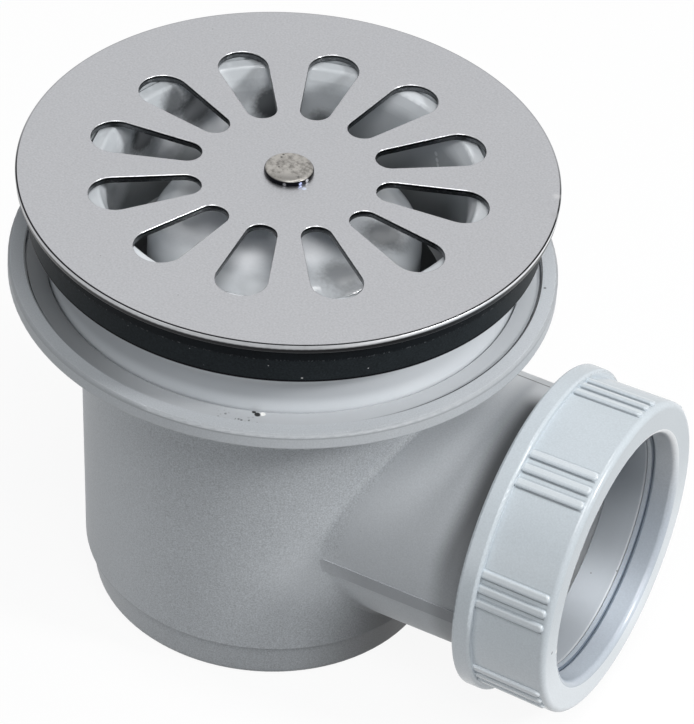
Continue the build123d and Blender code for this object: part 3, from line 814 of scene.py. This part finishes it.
def nut_plastic():
    """Pale glossy blue-grey nut, painted lighter low on its outside and high in its bore, with painted
    shade in its rib crevices, painted highlights on its rib crests, a gate nib and a speck.
    """
    made = Material("pale_nut_plastic", 0.24)
    radius = made.outlet_radius()
    in_bore = made.below(radius, NUT_BORE_R)
    # Painted light: the outside lighter low down and the bore lighter high up
    outside = made.blend(made.spread(made.z, 38.0, 16.0), (0.572, 0.624, 0.662), (0.80, 0.85, 0.89))
    bore = made.blend(made.spread(made.z, 20.0, 42.0), (0.50, 0.55, 0.61), (0.94, 0.96, 0.98))
    base = made.mottled(made.blend(in_bore, outside, bore), 10.0, 0.3, 0.05, 0.2)
    lip_line = made.band(made.x, WASHER_LIP_X, WASHER_LIP_X + 0.12, 0.05)
    base = made.tinted(base, (0.07, 0.11, 0.17), lip_line, in_bore, 0.6)
    turned = made.math("ARCTAN2", made.math("SUBTRACT", made.z, OUTLET_Z), made.y)
    degrees = made.product(turned, 180 / math.pi)
    in_group = made.wrapped(degrees, RIB_FIRST_ANGLE, 360 / RIB_GROUPS)
    in_rib = made.wrapped(in_group, 0.0, RIB_PITCH_ANGLE)
    ribbed = made.below(made.math("ABSOLUTE", in_group), RIBS_IN_GROUP / 2 * RIB_PITCH_ANGLE)
    along = made.band(made.x, RIB_START, RIB_END, 0.2)
    grip = made.product(ribbed, along, made.above(radius, RIB_FROM_R))
    # Painted shade in the rib crevices
    under = made.product(made.band(in_rib, 1.75, 2.05, 0.25), 0.62)
    over = made.product(made.band(in_rib, -2.1, -1.8, 0.25), 0.25)
    base = made.tinted(base, (0.16, 0.18, 0.20), made.math("MAXIMUM", under, over), grip)
    # Painted highlights on the rib crests
    base = made.tinted(base, (0.86, 0.89, 0.91), made.band(in_rib, -1.1, 0.2, 0.5), grip, 0.35)
    base = made.spotted(base, [
        ((48.2, -24.3, 40.7), 0.45, 0.4, (0.03, 0.03, 0.03), 0.9),
        ((NUT_FRONT, -21.5, 27.1), 0.6, 0.4, (0.98, 0.98, 0.98), 1.0),
        ((NUT_FRONT, -23.45, 28.14), 0.35, 0.5, (0.10, 0.11, 0.12), 0.8),
    ])
    return made.finish(base, made.grain, 0.06, 0.03)


def pale_rubber(name, colour, roughness, marks, smudges=()):
    """Smooth blue-grey ring with small specks and pitted smudges where they are given, painted lighter high
    up at the outlet and next to the seal's face, and with painted shade on its left side.
    """
    made = Material(name, roughness)
    # Painted light: lighter high up at the outlet and next to the seal's face
    upper = made.spread(made.z, OUTLET_Z - 4.0, OUTLET_Z + 14.0)
    at_outlet = made.above(made.x, OUTLET_PARTS_X)
    tone = made.tinted(colour, (0.85, 0.89, 0.93), upper, at_outlet, 0.7)
    near_face = made.spread(made.x, SEAL_FACE_X - 0.4, SEAL_FACE_X - 0.1, 0.0, 0.4)
    tone = made.tinted(tone, (0.97, 0.98, 1.0), near_face)
    # Painted shade on the ring's left side
    tone = made.tinted(tone, (0.12, 0.125, 0.13), made.spread(made.across(), -14.0, -32.0, 0.0, 0.65))
    base = made.mottled(tone, 8.0, 0.4, 0.06, 0.04)
    base = made.tinted(base, (0.15, 0.15, 0.16), made.specks(3.5, 0.15, 0.13), 0.5)
    dots = made.specks(0.5, 0.6, 0.26)
    for place, size in smudges:
        base = made.tinted(base, (0.12, 0.125, 0.13), made.spot(place, size, 0.7), dots, 0.8)
    base = made.spotted(base, marks)
    return made.finish(base, made.grain, 0.05, 0.03)


STEEL = steel_sheet()
SHEARED = sheared_steel()
PIN_STEEL = pin_steel()
BLACK = black_rubber()
# Marks on the white bowl and collar: painted shade at the slots' outer ends, painted shadows of the grate's
# bars, and painted light patches and glints seen through the slots
WHITE = white_plastic("white_polypropylene", 79.0, [
    ((-28.1, 8.7, 79.0), 5.0, 0.6, LEDGE_SHADE, 0.75),
    ((-29.0, -6.4, 79.3), 5.0, 0.6, LEDGE_SHADE, 0.65),
    ((-21.0, 22.0, 79.5), 5.0, 0.6, LEDGE_SHADE, 0.7),
    ((-8.4, 28.3, 78.8), 5.0, 0.6, LEDGE_SHADE, 0.5),
    ((-22.6, -19.9, 79.5), 5.0, 0.6, LEDGE_SHADE, 0.55),
    ((-24.3, 14.2, 74.4), 4.6, 0.55, SHADE, 0.85),
    ((-15.4, 23.6, 73.0), 4.4, 0.5, SHADE, 0.9),
    ((-27.9, 3.6, 74.2), 4.6, 0.55, SHADE, 0.9),
    ((-8.0, 27.0, 69.6), 4.0, 0.7, SHADE, 0.75),
    ((-26.6, 10.4, 77.0), 3.4, 0.6, SHADE, 0.6),
    ((-22.2, 17.3, 70.0), 4.0, 0.7, GLEAM, 0.8),
    ((-26.7, 9.1, 68.6), 4.6, 0.7, GLEAM, 0.75),
    ((-28.0, -3.5, 67.5), 4.6, 0.8, GLEAM, 0.7),
    ((-20.6, 19.3, 74.8), 3.2, 0.8, GLEAM, 0.7),
    ((26.8, 10.1, 75.6), 6.4, 0.7, GLEAM, 1.0),
    ((13.8, 24.6, 73.0), 0.5, 0.4, GLEAM, 1.0),
    ((13.4, 24.8, 74.0), 0.5, 0.4, GLEAM, 0.9),
    ((14.1, 24.4, 72.2), 0.5, 0.4, GLEAM, 0.9),
])
# Marks on the bell: painted light patches on its crown and painted shadows of the grate's bars
BELL_WHITE = white_plastic("white_bell_polypropylene", 71.5, [
    ((-9.0, -9.4, 72.6), 8.0, 0.8, GLEAM, 1.0),
    ((-1.0, -11.2, 72.6), 7.0, 0.8, GLEAM, 1.0),
    ((6.4, -5.8, 72.6), 6.0, 0.8, GLEAM, 1.0),
    ((4.0, -18.0, 72.2), 4.0, 0.7, SHADE, 0.3),
    ((14.4, -8.8, 72.4), 5.0, 0.7, SHADE, 0.6),
    ((15.4, 3.6, 72.5), 5.2, 0.65, SHADE, 0.72),
])
GREY = grey_plastic()
NUT_GREY = nut_plastic()
GASKET = pale_rubber("grey_gasket_rubber", (0.485, 0.503, 0.522), 0.4, [
    ((15.6, -34.75, GASKET_TOP), 0.55, 0.5, (0.95, 0.95, 0.92), 1.0),
    ((14.2, -35.0, GASKET_TOP), 0.38, 0.35, SOOT, 1.0),
    ((14.95, -35.25, GASKET_TOP), 0.56, 0.35, SOOT, 1.0),
], SMUDGES)
BORE_RING = pale_rubber("blue_grey_outlet_seal", (0.50, 0.535, 0.575), 0.3, [
    ((53.31, 11.92, 13.07), 0.16, 0.5, PIT, 0.8),
    ((57.18, 13.4, 14.24), 0.18, 0.5, PIT, 0.8),
])

piece("grate_sheet", pressed_grate(), "collar", "grate", [STEEL, SHEARED])
piece("tray_seal_ring", seal_ring(), "tray_ring", "tray_seal", [BLACK])

for node_name, finish in {
    "trap_body": GREY,
    "bell": BELL_WHITE,
    "trap_bowl": WHITE,
    "bowl_o_ring": BLACK,
    "pin_clip": PIN_STEEL,
    "grate_pin": PIN_STEEL,
    "clamp_collar": WHITE,
    "flange_gasket": GASKET,
    "outlet_seal": BORE_RING,
    "slip_washer": NUT_GREY,
    "union_nut": NUT_GREY,
}.items():
    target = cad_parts[node_name]
    target.data.materials.clear()
    target.data.materials.append(finish)


# Camera at the photograph's viewpoint
VIEW_TURN = math.radians(25.642)
VIEW_RISE = math.radians(39.7022414)
VIEW_ROLL = math.radians(4.23138951)
FOCUS_PX = 4780.635
PHOTO_HEIGHT_PX = 724
SHIFT_RIGHT = -9.00748172
SHIFT_UP = 29.61977093
VIEW_DISTANCE = 742.643351
SENSOR = 36.0

back = Vector((
    math.sin(VIEW_TURN) * math.cos(VIEW_RISE),
    -math.cos(VIEW_TURN) * math.cos(VIEW_RISE),
    math.sin(VIEW_RISE),
))
level = Vector((math.cos(VIEW_TURN), math.sin(VIEW_TURN), 0))
steep = back.cross(level)
right = math.cos(VIEW_ROLL) * level + math.sin(VIEW_ROLL) * steep
up = -math.sin(VIEW_ROLL) * level + math.cos(VIEW_ROLL) * steep
aim = Vector((0, 0, PLATE_TOP))
place = aim + back * VIEW_DISTANCE - right * SHIFT_RIGHT - up * SHIFT_UP
lens = bpy.data.cameras.new("photo_camera")
lens.sensor_fit = "VERTICAL"
lens.sensor_height = SENSOR
lens.lens = FOCUS_PX * SENSOR / PHOTO_HEIGHT_PX
lens.clip_start = 0.01
lens.clip_end = 20
camera = bpy.data.objects.new("photo_camera", lens)
bpy.context.scene.collection.objects.link(camera)
turn = Matrix((right, up, back)).transposed().to_4x4()
camera.matrix_world = Matrix.Translation(place * MM) @ turn
bpy.context.scene.camera = camera


def aimed(name, lamp, target, toward, distance):
    """Places a lamp at a distance in metres from a point in millimetres and turns it to that point."""
    made = bpy.data.objects.new(name, lamp)
    bpy.context.scene.collection.objects.link(made)
    middle = Vector(target) * MM
    made.location = middle + Vector(toward).normalized() * distance
    made.rotation_euler = (made.location - middle).to_track_quat("Z", "Y").to_euler()


DRAIN_MIDDLE = (10, 0, 50)


def area_light(name, toward, distance, size, power):
    """Soft square lamp aimed at the middle of the drain."""
    lamp = bpy.data.lights.new(name, "AREA")
    lamp.shape = "SQUARE"
    lamp.size = size
    lamp.energy = power
    aimed(name, lamp, DRAIN_MIDDLE, toward, distance)


def beam_light(name, target, toward, distance, width, power):
    """Narrow soft-edged beam on one small place, its width in degrees."""
    lamp = bpy.data.lights.new(name, "SPOT")
    lamp.energy = power
    lamp.spot_size = math.radians(width)
    lamp.spot_blend = 1.0
    lamp.shadow_soft_size = 0.004
    aimed(name, lamp, target, toward, distance)


area_light("key_light", (1.0, 0.1, 0.7), 0.9, 0.16, 4.6)
area_light("front_light", (0.5, -0.75, 1.4), 1.0, 0.4, 3.6)
area_light("low_fill", (-0.35, -1.0, 0.12), 1.0, 0.5, 0.8)
area_light("top_light", (0.1, 0.25, 1.0), 1.0, 0.25, 1.6)
beam_light("bore_glow", (53.4, 9.8, 11.8), (1.0, -0.35, 0.55), 0.5, 1.6, 9.0)


def white_to_camera(net, lit, white):
    """White for the camera, reflections and glass, and the lit surface for the rest."""
    path = net.put("ShaderNodeLightPath").outputs
    seen = net.math("MAXIMUM", path["Is Camera Ray"], path["Is Glossy Ray"])
    seen = net.math("MAXIMUM", seen, path["Is Transmission Ray"])
    swap = net.put("ShaderNodeMixShader")
    net.feed(swap.inputs[0], seen)
    net.feed(swap.inputs[1], lit)
    net.feed(swap.inputs[2], white)
    return swap.outputs[0]


SKY_STRENGTH = 0.24
world = bpy.data.worlds.new("studio")
bpy.context.scene.world = world
world.use_nodes = True
sky_net = Net(world.node_tree)
sky = sky_net.tree.nodes["Background"]
sky.inputs["Color"].default_value = (0.93, 0.97, 1, 1)
sky.inputs["Strength"].default_value = SKY_STRENGTH
backdrop = sky_net.put("ShaderNodeBackground")
backdrop.inputs["Color"].default_value = (1, 1, 1, 1)
surface = white_to_camera(sky_net, sky.outputs[0], backdrop.outputs[0])
sky_net.feed(sky_net.tree.nodes["World Output"].inputs["Surface"], surface)

# Pale floor: the camera sees it white, with only the drain's soft shadow on it
FLOOR_REACH = 1.5
SHADOW_SHARE = 0.08
corners = [(-FLOOR_REACH, -FLOOR_REACH, 0), (FLOOR_REACH, -FLOOR_REACH, 0)]
corners += [(FLOOR_REACH, FLOOR_REACH, 0), (-FLOOR_REACH, FLOOR_REACH, 0)]
floor_mesh = bpy.data.meshes.new("studio_floor")
floor_mesh.from_pydata(corners, [], [(0, 1, 2, 3)])
floor = bpy.data.objects.new("studio_floor", floor_mesh)
bpy.context.scene.collection.objects.link(floor)
paper = bpy.data.materials.new("pale_floor")
paper.use_nodes = True
floor_net = Net(paper.node_tree)
lit_floor = floor_net.tree.nodes["Principled BSDF"]
lit_floor.inputs["Base Color"].default_value = (0.3, 0.305, 0.31, 1)
lit_floor.inputs["Roughness"].default_value = 1.0
lit_floor.inputs["Specular IOR Level"].default_value = 0.0
glow = floor_net.put("ShaderNodeEmission")
glow.inputs["Color"].default_value = (1, 1, 1, 1)
shaded = floor_net.put("ShaderNodeBsdfDiffuse")
shaded.inputs["Color"].default_value = (1, 1, 1, 1)
shadow = floor_net.put("ShaderNodeMixShader")
shadow.inputs[0].default_value = SHADOW_SHARE
floor_net.feed(shadow.inputs[1], glow.outputs[0])
floor_net.feed(shadow.inputs[2], shaded.outputs[0])
surface = white_to_camera(floor_net, lit_floor.outputs[0], shadow.outputs[0])
floor_net.feed(floor_net.tree.nodes["Material Output"].inputs["Surface"], surface)
floor_mesh.materials.append(paper)

bpy.context.scene.view_settings.view_transform = "Standard"
